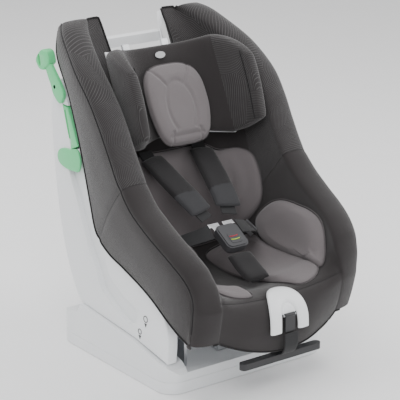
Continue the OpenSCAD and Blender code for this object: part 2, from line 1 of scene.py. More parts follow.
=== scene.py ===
import math
import json
import bpy
import bmesh
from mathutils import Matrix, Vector


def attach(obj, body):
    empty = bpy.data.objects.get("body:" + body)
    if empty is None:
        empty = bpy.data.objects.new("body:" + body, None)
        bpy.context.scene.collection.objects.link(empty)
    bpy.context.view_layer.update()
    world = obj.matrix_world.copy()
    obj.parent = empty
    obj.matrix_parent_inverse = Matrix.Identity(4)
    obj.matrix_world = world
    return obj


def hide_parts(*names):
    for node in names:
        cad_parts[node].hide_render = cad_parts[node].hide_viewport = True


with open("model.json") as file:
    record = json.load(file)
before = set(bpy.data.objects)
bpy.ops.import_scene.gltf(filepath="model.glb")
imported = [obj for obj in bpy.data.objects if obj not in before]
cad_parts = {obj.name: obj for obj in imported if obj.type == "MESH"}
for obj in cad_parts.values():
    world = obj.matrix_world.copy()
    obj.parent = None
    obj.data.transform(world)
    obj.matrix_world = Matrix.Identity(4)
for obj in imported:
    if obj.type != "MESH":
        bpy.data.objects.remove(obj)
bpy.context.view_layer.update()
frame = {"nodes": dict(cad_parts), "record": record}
MM = 0.001
scene = bpy.context.scene


def link(obj):
    scene.collection.objects.link(obj)
    return obj


# ---- Camera, lights and floor ----
cam = link(bpy.data.objects.new("camera", bpy.data.cameras.new("camera")))
cam.location = (-2.0, -2.7136, 1.4)
cam.rotation_euler = (math.radians(90 - 17.88), 0, math.radians(-36.70))
cam.data.lens = 158.2
cam.data.sensor_width = 36
cam.data.clip_end = 50
scene.camera = cam


def area_light(name, loc, target, size, power, color=(1, 1, 1)):
    data = bpy.data.lights.new(name, "AREA")
    data.size = size
    data.energy = power
    data.color = color
    obj = link(bpy.data.objects.new(name, data))
    obj.location = loc
    obj.rotation_euler = (Vector(target) - Vector(loc)).to_track_quat("-Z", "Y").to_euler()


area_light("key", (-1.9, -2.3, 2.7), (0, 0, 0.3), 1.8, 62)
area_light("fill", (2.4, -1.6, 1.8), (0, 0, 0.3), 2.0, 40)
area_light("top", (0, 0.2, 3.0), (0, 0, 0.2), 2.6, 44)
area_light("back", (-1.2, 2.4, 1.8), (0, 0, 0.4), 1.8, 34)
world = bpy.data.worlds.new("world")
scene.world = world
world.use_nodes = True
world.node_tree.nodes["Background"].inputs[0].default_value = (1, 1, 1, 1)
world.node_tree.nodes["Background"].inputs[1].default_value = 0.80


# ---- Materials ----
class Mat:
    def __init__(self, name):
        self.m = bpy.data.materials.new(name)
        self.m.use_nodes = True
        self.t = self.m.node_tree
        self.b = self.t.nodes["Principled BSDF"]

    def node(self, kind, **values):
        n = self.t.nodes.new(kind)
        for k, v in values.items():
            setattr(n, k, v)
        return n

    def wire(self, a, b):
        self.t.links.new(a, b)

    def math(self, op, a, b=None, clamp=False):
        n = self.node("ShaderNodeMath", operation=op, use_clamp=clamp)
        for i, v in enumerate((a, b)):
            if v is None:
                continue
            if isinstance(v, (int, float)):
                n.inputs[i].default_value = v
            else:
                self.wire(v, n.inputs[i])
        return n.outputs[0]

    def noise(self, vec, scale, detail=3.0, rough=0.5):
        n = self.node("ShaderNodeTexNoise")
        n.inputs["Scale"].default_value = scale
        n.inputs["Detail"].default_value = detail
        n.inputs["Roughness"].default_value = rough
        self.wire(vec, n.inputs["Vector"])
        return n.outputs["Fac"]

    def mix(self, fac, a, b):
        n = self.node("ShaderNodeMix", data_type="RGBA")
        for sock, v in ((n.inputs[0], fac), (n.inputs[6], a), (n.inputs[7], b)):
            if hasattr(v, "links") or hasattr(v, "is_linked"):
                self.wire(v, sock)
            else:
                sock.default_value = v
        return n.outputs[2]

    def bump(self, height, strength, distance, normal=None):
        n = self.node("ShaderNodeBump")
        n.inputs["Strength"].default_value = strength
        n.inputs["Distance"].default_value = distance
        self.wire(height, n.inputs["Height"])
        if normal is not None:
            self.wire(normal, n.inputs["Normal"])
        return n.outputs["Normal"]


def rgba(c, k=1.0):
    return (min(1, c[0] * k), min(1, c[1] * k), min(1, c[2] * k), 1)


def plastic(name, color, rough=0.38, grain=900, strength=0.12, spread=0.05, coat=0.0):
    m = Mat(name)
    pos = m.node("ShaderNodeTexCoord").outputs["Object"]
    cloud = m.noise(pos, 7, 3)
    fine = m.noise(pos, grain, 2)
    m.wire(m.mix(cloud, rgba(color, 1 - spread), rgba(color, 1 + spread)), m.b.inputs["Base Color"])
    ramp = m.math("MULTIPLY_ADD", fine, 0.12)
    ramp.node.inputs[2].default_value = rough - 0.06
    m.wire(ramp, m.b.inputs["Roughness"])
    m.wire(m.bump(fine, strength, 0.0004), m.b.inputs["Normal"])
    m.b.inputs["Coat Weight"].default_value = coat
    m.b.inputs["Specular IOR Level"].default_value = 0.45
    return m.m


def metal(name, color, rough=0.3):
    m = Mat(name)
    pos = m.node("ShaderNodeTexCoord").outputs["Object"]
    scale = m.node("ShaderNodeMapping")
    scale.inputs["Scale"].default_value = (12, 260, 260)
    m.wire(pos, scale.inputs["Vector"])
    brushed = m.noise(scale.outputs[0], 6, 4)
    m.wire(m.mix(brushed, rgba(color, 0.86), rgba(color, 1.08)), m.b.inputs["Base Color"])
    r = m.math("MULTIPLY_ADD", brushed, 0.2)
    r.node.inputs[2].default_value = rough - 0.08
    m.wire(r, m.b.inputs["Roughness"])
    m.b.inputs["Metallic"].default_value = 1.0
    m.wire(m.bump(brushed, 0.1, 0.0003), m.b.inputs["Normal"])
    return m.m


def fabric(name, color, pitch=0.0016, light=1.28, sheen=0.25, pattern=0.0, uv=False, rough=0.88,
           strength=0.5):
    """Woven cloth. pattern draws thin lines whose direction changes from patch to patch."""
    m = Mat(name)
    tc = m.node("ShaderNodeTexCoord")
    vec = tc.outputs["UV"] if uv else tc.outputs["Object"]
    sep = m.node("ShaderNodeSeparateXYZ")
    m.wire(vec, sep.inputs[0])
    k = 2 * math.pi / pitch
    a = m.math("SINE", m.math("MULTIPLY", sep.outputs[0], k))
    if uv:
        b = m.math("SINE", m.math("MULTIPLY", sep.outputs[1], k))
    else:
        b = m.math("SINE", m.math("MULTIPLY", m.math("ADD", sep.outputs[1], sep.outputs[2]), k))
    weave = m.math("MULTIPLY_ADD", m.math("MULTIPLY", a, b), 0.5)
    weave.node.inputs[2].default_value = 0.5
    cloud = m.noise(vec, 14, 4)
    fuzz = m.noise(vec, 700, 2)
    mixed = m.math("ADD", m.math("MULTIPLY", weave, 0.35), m.math("MULTIPLY", fuzz, 0.65))
    col = m.mix(mixed, rgba(color, 0.74), rgba(color, light))
    col = m.mix(m.math("MULTIPLY", cloud, 0.45), col, rgba(color, 1.12))
    height = m.math("ADD", m.math("MULTIPLY", weave, 0.7), m.math("MULTIPLY", fuzz, 0.5))
    if pattern:
        cell = m.node("ShaderNodeTexVoronoi", feature="F1")
        cell.inputs["Scale"].default_value = 15
        m.wire(vec, cell.inputs["Vector"])
        pick = m.node("ShaderNodeSeparateColor")
        m.wire(cell.outputs["Color"], pick.inputs[0])
        ang = m.math("MULTIPLY", m.math("FLOOR", m.math("MULTIPLY", pick.outputs[0], 4.0)), 0.55)
        second = sep.outputs[1] if uv else sep.outputs[2]
        first = sep.outputs[0] if uv else sep.outputs[1]
        line = m.math("ADD", m.math("MULTIPLY", first, m.math("SINE", ang)),
                      m.math("MULTIPLY", second, m.math("COSINE", ang)))
        wob = m.math("MULTIPLY", m.noise(vec, 9, 1), 0.03)
        wave = m.math("SINE", m.math("MULTIPLY", m.math("ADD", line, wob), 2 * math.pi / 0.0036))
        thin = m.math("MULTIPLY", m.math("SUBTRACT", wave, 0.72), 5.0, clamp=True)
        soft = m.math("MULTIPLY", thin, m.math("MULTIPLY", m.noise(vec, 30, 2), 1.4, clamp=True))
        col = m.mix(m.math("MULTIPLY", soft, pattern), col, rgba((0.13, 0.125, 0.128)))
        height = m.math("ADD", height, m.math("MULTIPLY", thin, 0.8))
    m.wire(col, m.b.inputs["Base Color"])
    m.b.inputs["Roughness"].default_value = rough
    m.b.inputs["Sheen Weight"].default_value = sheen
    m.b.inputs["Sheen Roughness"].default_value = 0.5
    m.b.inputs["Specular IOR Level"].default_value = 0.18
    m.wire(m.bump(height, strength, 0.0006, m.bump(cloud, 0.25, 0.004)), m.b.inputs["Normal"])
    return m.m


WHITE = plastic("white_plastic", (0.80, 0.815, 0.83), 0.36, coat=0.08)
SHELL = plastic("shell_plastic", (0.82, 0.83, 0.845), 0.40)
GREEN = plastic("green_plastic", (0.115, 0.60, 0.245), 0.34, coat=0.1)
# Painted shade: a darker copy of the green plastic for the grooves, standing in for the shade inside them.
GREEN_PAINTED_GROOVE_SHADE = plastic("green_groove_painted_shade", (0.05, 0.36, 0.12), 0.45)
BLACKP = plastic("black_plastic", (0.022, 0.022, 0.024), 0.38)
BUCKLE = plastic("buckle_plastic", (0.05, 0.05, 0.054), 0.42)
RED = plastic("line_red", (0.42, 0.012, 0.03), 0.35, coat=0.2)
LIME = plastic("line_lime", (0.42, 0.62, 0.03), 0.4)
MARK = plastic("mark_ink", (0.05, 0.05, 0.055), 0.6)
FOAM = plastic("foam", (0.7, 0.7, 0.7), 0.85, grain=240, strength=0.6)
STEEL = metal("zinc_steel", (0.62, 0.63, 0.65), 0.34)
CHROME = metal("tongue_chrome", (0.75, 0.75, 0.77), 0.2)
LABEL = plastic("label_grey", (0.42, 0.42, 0.43), 0.4)
DARK = (0.0235, 0.0205, 0.021)
PLAIN = fabric("cover_plain", DARK, uv=True)
WAVE = fabric("cover_wave", (0.026, 0.0235, 0.024), uv=True, pattern=0.6)
WAVE_OBJ = fabric("head_wave", (0.026, 0.0235, 0.024), pattern=0.55)
PLAIN_OBJ = fabric("head_plain", DARK)
GREY = fabric("insert_grey", (0.150, 0.135, 0.139), sheen=0.2, light=1.16, rough=0.9)
GREY_SEAM = fabric("insert_seam", (0.085, 0.076, 0.079), sheen=0.1)
PAD = fabric("harness_pad", (0.013, 0.012, 0.013), pitch=0.0012, sheen=0.2)
MESH = fabric("harness_mesh", (0.026, 0.026, 0.028), pitch=0.0034, light=2.2, sheen=0.1, strength=0.9)
WEB = fabric("webbing", (0.020, 0.020, 0.021), pitch=0.0022, light=1.7, sheen=0.12, uv=True)
PIPE = fabric("piping", (0.012, 0.011, 0.0115), sheen=0.15)

SLOT_MATERIAL = {
    "base_white": WHITE, "shell_white": SHELL, "guide_green": GREEN, "mark_black": MARK,
    "rail_steel": STEEL, "bolt_steel": STEEL, "foam": FOAM, "cover_black": PLAIN_OBJ,
    "insert_grey": GREY, "webbing": WEB, "pad_black": PAD, "buckle_plastic": BUCKLE,
    "button_red": BUCKLE, "tongue_steel": CHROME, "lever_black": BLACKP, "badge_grey": LABEL}
node_slot = {s["node"]: s["material_slot"] for s in frame["record"]["subparts"]}
for name, obj in frame["nodes"].items():
    obj.data.materials.clear()
    obj.data.materials.append(SLOT_MATERIAL[node_slot[name]])

# ---- The seat's surfaces, as in the CAD ----
FLOOR = [[232, 650], [205, 598], [172, 530], [140, 460], [112, 390], [87, 315], [67, 245], [40, 190],
         [-5, 160], [-70, 150], [-140, 154], [-200, 168], [-244, 182], [-280, 185], [-300, 166],
         [-305, 130], [-299, 94]]
RIM = [[206, 658, 166], [166, 640, 188], [88, 596, 214], [26, 550, 223], [-14, 500, 224],
       [-42, 452, 223], [-72, 405, 223], [-113, 362, 224], [-155, 335, 223], [-195, 313, 221],
       [-232, 290, 216], [-260, 266, 208], [-274, 240, 201], [-276, 213, 197], [-272, 186, 195],
       [-266, 158, 193], [-258, 130, 191]]
HEM = [[226, 640, 160], [196, 598, 182], [134, 530, 195], [104, 460, 197], [80, 388, 197],
       [62, 325, 197], [42, 272, 197], [2, 242, 197], [-48, 226, 197], [-97, 209, 197],
       [-150, 187, 197], [-196, 161, 197], [-230, 143, 196], [-248, 134, 193], [-254, 130, 192],
       [-256, 127, 191], [-256, 124, 190]]
PADS = [20, 26, 32, 34, 32, 28, 22, 17, 14, 13, 13, 12, 10, 7, 5, 4, 4]
LAST = 16
RIM_W = 44


def spline(P, u):
    i = min(len(P) - 2, max(0, int(math.floor(u))))
    t = u - i
    k = [P[max(0, min(len(P) - 1, i + j))] for j in (-1, 0, 1, 2)]
    if not isinstance(k[0], (list, tuple)):
        a, b, c, d = k
        return (b + (c - a) * t / 2 + (2 * a - 5 * b + 4 * c - d) * t * t / 2
                + (3 * b - a - 3 * c + d) * t ** 3 / 2)
    return [b + (c - a) * t / 2 + (2 * a - 5 * b + 4 * c - d) * t * t / 2
            + (3 * b - a - 3 * c + d) * t ** 3 / 2 for a, b, c, d in zip(*k)]


def floor_way(u):
    a = spline(FLOOR, min(LAST, u + 0.2))
    b = spline(FLOOR, max(0, u - 0.2))
    w = (a[0] - b[0], a[1] - b[1])
    n = math.hypot(*w)
    return (w[0] / n, w[1] / n)


def clamp(x, a=0.0, b=1.0):
    return max(a, min(b, x))


def rim_in(u):
    """Inner edge of the rim, which comes forward at the front corners."""
    r = spline(RIM, u)
    return [r[0] - 20 * clamp((u - 11.5) / 2), r[1], r[2]]


def bucket(u, v, pad):
    """A point of the bucket; v is 0 on the centre line and 1 at the rim, and pad lifts it inwards."""
    c, r, way = spline(FLOOR, u), rim_in(u), floor_way(u)
    flat = clamp((u - 11) / 3)
    sn, cs = math.sin(math.pi / 2 * v), max(0.0, math.cos(math.pi / 2 * v))
    f = sn ** 0.625 * (1 - flat) + v * flat
    t = (1 - cs ** 0.625) * (1 - flat) + v * v * flat
    y = c[0] + way[1] * pad * (1 - t) + (r[0] - c[0]) * t
    z = c[1] - way[0] * pad * (1 - t) + (r[1] - c[1]) * t
    return Vector(((r[2] - RIM_W - min(pad, 12)) * f, y, z))


def roll(u, s, height, pad):
    r, c = spline(RIM, u), spline(FLOOR, u)
    d = (r[0] - c[0], r[1] - c[1])
    n = math.hypot(*d)
    inner, outer = r[2] - RIM_W - min(pad, 12), r[2]
    rise = height * math.sin(math.pi * s) * clamp((13.5 - u) / 2.5)
    back = (r[0] - rim_in(u)[0]) * (1 - s * s)
    return Vector((inner + (outer - inner) * (1 - math.cos(math.pi * s)) / 2,
                   r[0] - back + d[0] / n * rise, r[1] + d[1] / n * rise))


def skirt(u, s):
    r, h = spline(RIM, u), spline(HEM, u)
    return Vector((r[2] + (h[2] - r[2]) * s ** 1.6, r[0] + (h[0] - r[0]) * s, r[1] + (h[1] - r[1]) * s))


def notch(u, x):
    return u + 1.5 * clamp((78 - abs(x)) / 20) * max(0.0, 1 - u / 3.2)


def pad_at(u):
    return spline(PADS, clamp(u, 0, LAST))


def normals(G):
    out = []
    m, n = len(G), len(G[0])
    for i in range(m):
        row = []
        for j in range(n):
            a, b = G[max(0, i - 1)][j], G[min(m - 1, i + 1)][j]
            c, d = G[i][max(0, j - 1)], G[i][min(n - 1, j + 1)]
            k = (b - a).cross(d - c)
            row.append(k.normalized() if k.length > 1e-9 else Vector((0, 0, 1)))
        out.append(row)
    return out


def lifted(G, amount):
    N = normals(G)
    return [[G[i][j] + N[i][j] * (amount(i, j) if callable(amount) else amount)
             for j in range(len(G[0]))] for i in range(len(G))]


def new_mesh(name, verts, faces, material, smooth=True, uvs=None, face_mats=None):
    me = bpy.data.meshes.new(name)
    me.from_pydata([tuple(v * MM) for v in verts], [], faces)
    mats = material if isinstance(material, (list, tuple)) else [material]
    for m in mats:
        me.materials.append(m)
    if uvs:
        layer = me.uv_layers.new(name="UVMap")
        for loop in me.loops:
            layer.data[loop.index].uv = uvs[loop.vertex_index]
    for i, p in enumerate(me.polygons):
        p.use_smooth = smooth
        if face_mats:
            p.material_index = face_mats[i]
    me.update()
    return link(bpy.data.objects.new(name, me))


def grid_mesh(name, G, material, choose=None, flip=True):
    """A sheet over a grid of points in mm, with UVs in metres along the cloth."""
    m, n = len(G), len(G[0])
    mid = n // 2
    alongs = [0.0]
    for i in range(1, m):
        alongs.append(alongs[-1] + (G[i][mid] - G[i - 1][mid]).length)
    uvs, verts = [], []
    for i in range(m):
        acc = [0.0]
        for j in range(1, n):
            acc.append(acc[-1] + (G[i][j] - G[i][j - 1]).length)
        for j in range(n):
            verts.append(G[i][j])
            uvs.append(((acc[j] - acc[mid]) * MM, alongs[i] * MM))
    faces, fm = [], []
    for i in range(m - 1):
        for j in range(n - 1):
            a = i * n + j
            faces.append((a, a + n, a + n + 1, a + 1) if flip else (a, a + 1, a + n + 1, a + n))
            fm.append(choose(i, j, (G[i][j] + G[i + 1][j + 1]) / 2) if choose else 0)
    return new_mesh(name, verts, faces, material, uvs=uvs, face_mats=fm)


def add(obj, kind, **values):
    m = obj.modifiers.new(kind.lower(), kind)
    for k, v in values.items():
        setattr(m, k, v)
    return m


def apply_all(obj):
    dg = bpy.context.evaluated_depsgraph_get()
    me = bpy.data.meshes.new_from_object(obj.evaluated_get(dg))
    obj.modifiers.clear()
    old = obj.data
    obj.data = me
    bpy.data.meshes.remove(old)
    return obj


def tube(name, points, radius, material, closed=False, sides=8):
    """A cord of stitched piping through points in mm."""
    n = len(points)
    verts, faces = [], []
    for i, p in enumerate(points):
        a = points[(i - 1) % n] if closed or i > 0 else p
        b = points[(i + 1) % n] if closed or i < n - 1 else p
        t = (b - a).normalized()
        up = Vector((1, 0, 0)) if abs(t.x) < 0.9 else Vector((0, 0, 1))
        s = t.cross(up).normalized()
        w = t.cross(s)
        for k in range(sides):
            q = 2 * math.pi * k / sides
            verts.append(p + (s * math.cos(q) + w * math.sin(q)) * radius)
    for i in range(n if closed else n - 1):
        for k in range(sides):
            a, b = i * sides + k, i * sides + (k + 1) % sides
            c, d = ((i + 1) % n) * sides + (k + 1) % sides, ((i + 1) % n) * sides + k
            faces.append((a, b, c, d))
    if not closed:
        faces.append(tuple(range(sides))[::-1])
        faces.append(tuple((n - 1) * sides + k for k in range(sides)))
    return new_mesh(name, verts, faces, material)


def finish_piece(obj, body, slot, *nodes):
    """Puts a piece on its body, in place of the named nodes. The slot is not used."""
    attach(obj, body)
    if nodes:
        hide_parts(*nodes)
    return obj


def shade(obj, angle=32):
    """Smooth shading, with edges sharper than the angle kept crisp."""
    for p in obj.data.polygons:
        p.use_smooth = True
    bm = bmesh.new()
    bm.from_mesh(obj.data)
    for e in bm.edges:
        e.smooth = not (len(e.link_faces) == 2 and e.calc_face_angle(0) > math.radians(angle))
    bm.to_mesh(obj.data)
    bm.free()
    return obj


def seam_line(name, points, body, radius=0.9, material=None):
    """A stitched seam: a thin cord laid along the cloth."""
    return finish_piece(tube(name, points, radius, material or PIPE, sides=6), body, "cover_black")


def simulate(obj, pressure=4.0, cap=6.0, voxel=0.005):
    """Inflates a closed pad a little, as its filling does, and keeps the result."""
    if voxel:
        add(obj, "REMESH", mode="VOXEL", voxel_size=voxel)
        apply_all(obj)
    rest = [v.co.copy() for v in obj.data.vertices]
    cloth = add(obj, "CLOTH")
    s = cloth.settings
    s.quality = 5
    s.mass = 0.2
    s.use_pressure = True
    s.uniform_pressure_force = pressure
    s.tension_stiffness = s.compression_stiffness = 18
    s.bending_stiffness = 0.6
    s.effector_weights.gravity = 0
    cloth.collision_settings.use_collision = False
    cloth.point_cache.frame_start = 1
    cloth.point_cache.frame_end = 20
    for f in range(1, 21):
        scene.frame_set(f)
    apply_all(obj)
    for v, r in zip(obj.data.vertices, rest):
        d = v.co - r
        if d.length > cap * MM:
            v.co = r + d.normalized() * cap * MM
    scene.frame_set(1)
    for p in obj.data.polygons:
        p.use_smooth = True
    return obj


# ---- Cover ----
ROWS, NB, NR, NS = 128, 26, 12, 12


def cover_row(s):
    pad = pad_at(s)
    half = []
    for j in range(NB + 1):
        v = j / NB
        u = notch(s, bucket(s, v, pad).x)
        half.append(bucket(u, v, pad_at(u)))
    half += [roll(s, k / NR, 11, pad) for k in range(1, NR + 1)]
    half += [skirt(s, k / NS) for k in range(1, NS + 1)]
    left = [Vector((-p.x, p.y, p.z)) for p in half[:0:-1]]
    return left + half


HALF = NB + NR + NS
cover_grid = [cover_row(LAST * i / ROWS) for i in range(ROWS + 1)]


def side_of(j):
    return abs(j - HALF)


def cover_lift(i, j):
    """How far the cloth stands off its pattern: seams pull in, panels swell between them."""
    k, u = side_of(j), LAST * i / ROWS
    lift = 4.0
    for seam, deep, wide in ((NB, 3.0, 1.3), (NB + NR, 1.6, 0.9)):
        lift -= deep * math.exp(-((k - seam) / wide) ** 2) * clamp((13.6 - u) / 1.0)
    if k > NB - 4:
        lift -= 1.8 * math.exp(-((u - 6.25) / 0.10) ** 2)
    if NB < k < NB + NR:
        lift += 2.2 * math.sin(math.pi * (k - NB) / NR)
    if k > NB + NR:
        q = (k - NB - NR) / NS
        lift += 2.0 * math.sin(math.pi * q) - 1.0 * q
    lift -= 2.0 * math.exp(-((u - 13.05) / 0.10) ** 2) * (1 if k < NB + 2 else 0)
    p = cover_grid[i][j]
    lift += 0.5 * math.sin(p.y / 23 + p.x / 31) * math.sin(p.z / 27 - p.x / 19)
    return lift


outer = lifted(cover_grid, cover_lift)


def cover_material(i, j, p):
    k, u = side_of(j + (0 if j >= HALF else 1)), LAST * i / ROWS
    return 1 if (k > NB - 7 and u < 6.2) or u < 2.2 else 0


cover = grid_mesh("cover_cloth", outer, [PLAIN, WAVE], cover_material)
add(cover, "SOLIDIFY", thickness=0.0026, offset=-1)
add(cover, "SUBSURF", levels=1, render_levels=1)
apply_all(cover)
finish_piece(cover, "seat", "cover_black", "seat_cover")
for s, tag in ((-1, "left"), (1, "right")):
    line = [outer[i][HALF + s * (NB + NR)] for i in range(0, ROWS - 6)]
    finish_piece(tube("rim_piping_" + tag, line, 1.7, PIPE), "seat", "cover_black")
    line = [outer[i][HALF + s * HALF] for i in range(ROWS + 1)]
    finish_piece(tube("hem_binding_" + tag, line, 2.2, PIPE), "seat", "cover_black")
front_hem = outer[ROWS][HALF - NB - 4:HALF + NB + 5]
finish_piece(tube("hem_binding_front", front_hem, 2.2, PIPE), "seat", "cover_black")
lip = min(range(ROWS), key=lambda i: abs(LAST * i / ROWS - 13.05))
seam_line("lip_seam", [outer[lip][HALF + k] for k in range(-NB - 2, NB + 3)], "seat", 0.8)
cross = min(range(ROWS), key=lambda i: abs(LAST * i / ROWS - 6.25))
for s, tag in ((-1, "left"), (1, "right")):
    seam_line("side_seam_" + tag, [outer[cross][HALF + s * k] for k in range(NB - 4, HALF)], "seat", 0.8)
finish_piece(tube("notch_binding", outer[0][HALF - NB - 2:HALF + NB + 3], 2.4, PIPE), "seat", "cover_black")


def lining(u, v, lift=0.0):
    """A point over the cover's inner face; v runs from -1 to 1 and lift is the height over it."""
    p = bucket(u, abs(v), pad_at(u))
    if v < 0:
        p.x = -p.x
    if lift:
        e = 0.02
        a = bucket(u - e, abs(v), pad_at(u - e))
        b = bucket(u + e, abs(v), pad_at(u + e))
        c = bucket(u, max(0.002, abs(v) - e), pad_at(u))
        d = bucket(u, min(0.998, abs(v) + e), pad_at(u))
        n = (b - a).cross(d - c).normalized()
        if v < 0:
            n.x = -n.x
        p = p + n * lift
    return p


def blob(name, place, thick, material, rows=28, cols=28, power=2.6, low=3.5):
    """A closed pad. place(a, b, lift) gives a point for a and b in -1..1; the outline is place's."""
    top, bottom = [], []
    for i in range(rows + 1):
        a = -1 + 2 * i / rows
        ta, tb = [], []
        for j in range(cols + 1):
            b = -1 + 2 * j / cols
            e = (1 - abs(a) ** power) * (1 - abs(b) ** power)
            h = low + (thick - low) * max(0.0, e) ** 0.45
            ta.append(place(a, b, h))
            tb.append(place(a, b, 0.6))
        top.append(ta)
        bottom.append(tb)
    n = cols + 1
    verts = [p for r in top for p in r] + [p for r in bottom for p in r]
    k = len(verts) // 2
    faces = []
    for i in range(rows):
        for j in range(cols):
            q = i * n + j
            faces.append((q, q + n, q + n + 1, q + 1))
            faces.append((q + k, q + 1 + k, q + n + 1 + k, q + n + k))
    for i in range(rows):
        for j in (0, cols):
            q = i * n + j
            f = (q, q + k, q + n + k, q + n)
            faces.append(f if j == 0 else f[::-1])
    for j in range(cols):
        for i in (0, rows):
            q = i * n + j
            f = (q, q + 1, q + 1 + k, q + k)
            faces.append(f if i == 0 else f[::-1])
    obj = new_mesh(name, verts, faces, material)
    bm = bmesh.new()
    bm.from_mesh(obj.data)
    bmesh.ops.recalc_face_normals(bm, faces=bm.faces)
    bm.to_mesh(obj.data)
    bm.free()
    return obj


def disc(a, b, square=0.35):
    """Maps the square to a rounded square, so that pads have round corners."""
    x = a * math.sqrt(max(0.0, 1 - (1 - square) * b * b / 2))
    y = b * math.sqrt(max(0.0, 1 - (1 - square) * a * a / 2))
    return x, y


BASE = 4.8


def closed_spline(P, per=6, corners=()):
    """Smooth closed outline through P, with the points in corners kept sharp."""
    n, out = len(P), []
    for i in range(n):
        p0, p1, p2, p3 = (P[(i + k) % n] for k in (-1, 0, 1, 2))
        if i in corners:
            p0 = p1
        if (i + 1) % n in corners:
            p3 = p2
        for q in range(per):
            t = q / per
            out.append([b + (c - a) * t / 2 + (2 * a - 5 * b + 4 * c - d) * t * t / 2
                        + (3 * b - a - 3 * c + d) * t ** 3 / 2 for a, b, c, d in zip(p0, p1, p2, p3)])
    return out


def soft_pad(name, outline, centre, place, thick, low, rings=18, per=8, crease=None):
    """A closed pad with a round edge. place(u, v, lift) gives a point; outline goes round centre."""
    edge = closed_spline(outline, per)
    n = len(edge)
    verts, faces = [], []
    for face in (1, 0):
        for i in range(1, rings + 1):
            q = i / rings
            for u, v in edge:
                uu, vv = centre[0] + (u - centre[0]) * q, centre[1] + (v - centre[1]) * q
                swell = max(0.0, 1 - q ** 4.5) ** 0.5
                h = low * 0.5 + (low * 0.5 + (thick - low) * swell if face else -low * 0.5 + 0.5)
                if face and i == rings:
                    h = low * 0.5
                if face and crease:
                    h -= crease(uu, vv)
                verts.append(place(uu, vv, h))
    half = len(verts) // 2
    verts.append(place(centre[0], centre[1], thick - (crease(*centre) if crease else 0)))
    verts.append(place(centre[0], centre[1], 0.5))
    for k in range(n):
        m = (k + 1) % n
        faces.append((len(verts) - 2, k, m))
        faces.append((len(verts) - 1, half + m, half + k))
        for i in range(rings - 1):
            faces.append((i * n + k, (i + 1) * n + k, (i + 1) * n + m, i * n + m))
            faces.append((half + i * n + k, half + i * n + m, half + (i + 1) * n + m, half + (i + 1) * n + k))
        faces.append(((rings - 1) * n + k, half + (rings - 1) * n + k, half + (rings - 1) * n + m,
                      (rings - 1) * n + m))
    obj = new_mesh(name, verts, faces, GREY)
    bm = bmesh.new()
    bm.from_mesh(obj.data)
    bmesh.ops.recalc_face_normals(bm, faces=bm.faces)
    bm.to_mesh(obj.data)
    bm.free()
    rim = [verts[(rings - 1) * n + k] for k in range(n)]
    return obj, rim


def on_seat(side=1):
    def place(u, v, h):
        return lining(clamp(u, 0.2, 15.6), side * v, BASE + h)
    return place


def grey_pad(name, outline, centre, thick, side=1):
    obj, rim = soft_pad(name, outline, centre, on_seat(side), thick, low=4.0)
    simulate(obj, cap=2.5, voxel=0)
    apply_sub(obj)
    finish_piece(obj, "seat", "insert_grey")
    finish_piece(tube(name + "_piping", rim, 1.1, GREY_SEAM, closed=True, sides=6), "seat", "insert_grey")
    return obj


def apply_sub(obj):
    add(obj, "SUBSURF", levels=1, render_levels=1)
    apply_all(obj)
    for f in obj.data.polygons:
        f.use_smooth = True


# Back cushion: narrow at the top, with round wings at the height of the ribs.
back_half = [(4.02, 0.0), (4.06, 0.20), (4.35, 0.36), (4.62, 0.62), (5.05, 0.79), (5.6, 0.85), (6.25, 0.84),
             (6.75, 0.76), (6.98, 0.55), (7.05, 0.25)]
back_outline = back_half + [(7.06, 0.0)] + [(u, -v) for u, v in back_half[:0:-1]]
back = grey_pad("back_pad", back_outline, (5.6, 0.0), 15)
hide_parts("body_cushion")

# Seat cushion: one lobe on each side of the crotch strap, and a wing against each hip.
lobe_outline = [(7.45, 0.10), (7.45, 0.50), (8.4, 0.60), (9.6, 0.65), (10.8, 0.69), (11.8, 0.70),
                (12.45, 0.60), (12.75, 0.42), (12.7, 0.26), (12.3, 0.17), (11.6, 0.10), (10.2, 0.07),
                (8.6, 0.06)]
hip_outline = [(7.15, 0.66), (7.05, 0.82), (7.45, 0.93), (8.4, 0.985), (9.5, 1.0), (10.6, 0.985),
               (11.5, 0.90), (12.0, 0.74), (11.5, 0.62), (9.9, 0.58), (8.2, 0.58)]
lobes, hips = [], []
for side, tag in ((-1, "left"), (1, "right")):
    lobes.append(grey_pad("seat_lobe_" + tag, lobe_outline, (10.1, 0.36), 14, side))
    hips.append(grey_pad("hip_wing_" + tag, hip_outline, (9.4, 0.79), 23, side))
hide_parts("seat_cushion")
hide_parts("hip_wings")

# ---- Headrest ----
LEAN = math.radians(26)
SLIDE_Y, SLIDE_Z = 67, 457
HEAD_H = 172
WING = 0.56      # where the headrest's back turns into its wings, from 0 to 1 across


def slide(x, y, z):
    """From the headrest's leaned frame to the row frame, in mm."""
    return Vector((x, SLIDE_Y + y * math.cos(LEAN) + z * math.sin(LEAN),
                   SLIDE_Z - y * math.sin(LEAN) + z * math.cos(LEAN)))


def head_mid(r, v):
    a = abs(v)
    sn, cs = math.sin(math.pi / 2 * a), max(0.0, math.cos(math.pi / 2 * a))
    f, t = sn ** 0.62, 1 - cs ** 0.9
    low = -20 - 26 * min(1, a * 2) + 8 * max(0, a - 0.7) / 0.3
    high = HEAD_H - 12 - 66 * clamp((t - 0.25) / 0.75) ** 1.6
    s = low + (high - low) * r
    deep = 104 + 14 * math.sin(math.radians(120 * r))
    return (143 * f * (1 if v >= 0 else -1), -12 - deep * t, s, t, a)


def head_point(r, v, side):
    x, y, s, t, a = head_mid(r, v)
    thick = 12 + 10 * min(1, t * 3) - 12 * a ** 6
    q = math.pi / 2 * a ** 0.9
    sg = 1 if v >= 0 else -1
    k = thick * (1 - 2 * side)
    return Vector((x + sg * math.sin(q) * k, y + math.cos(q) * k, s))


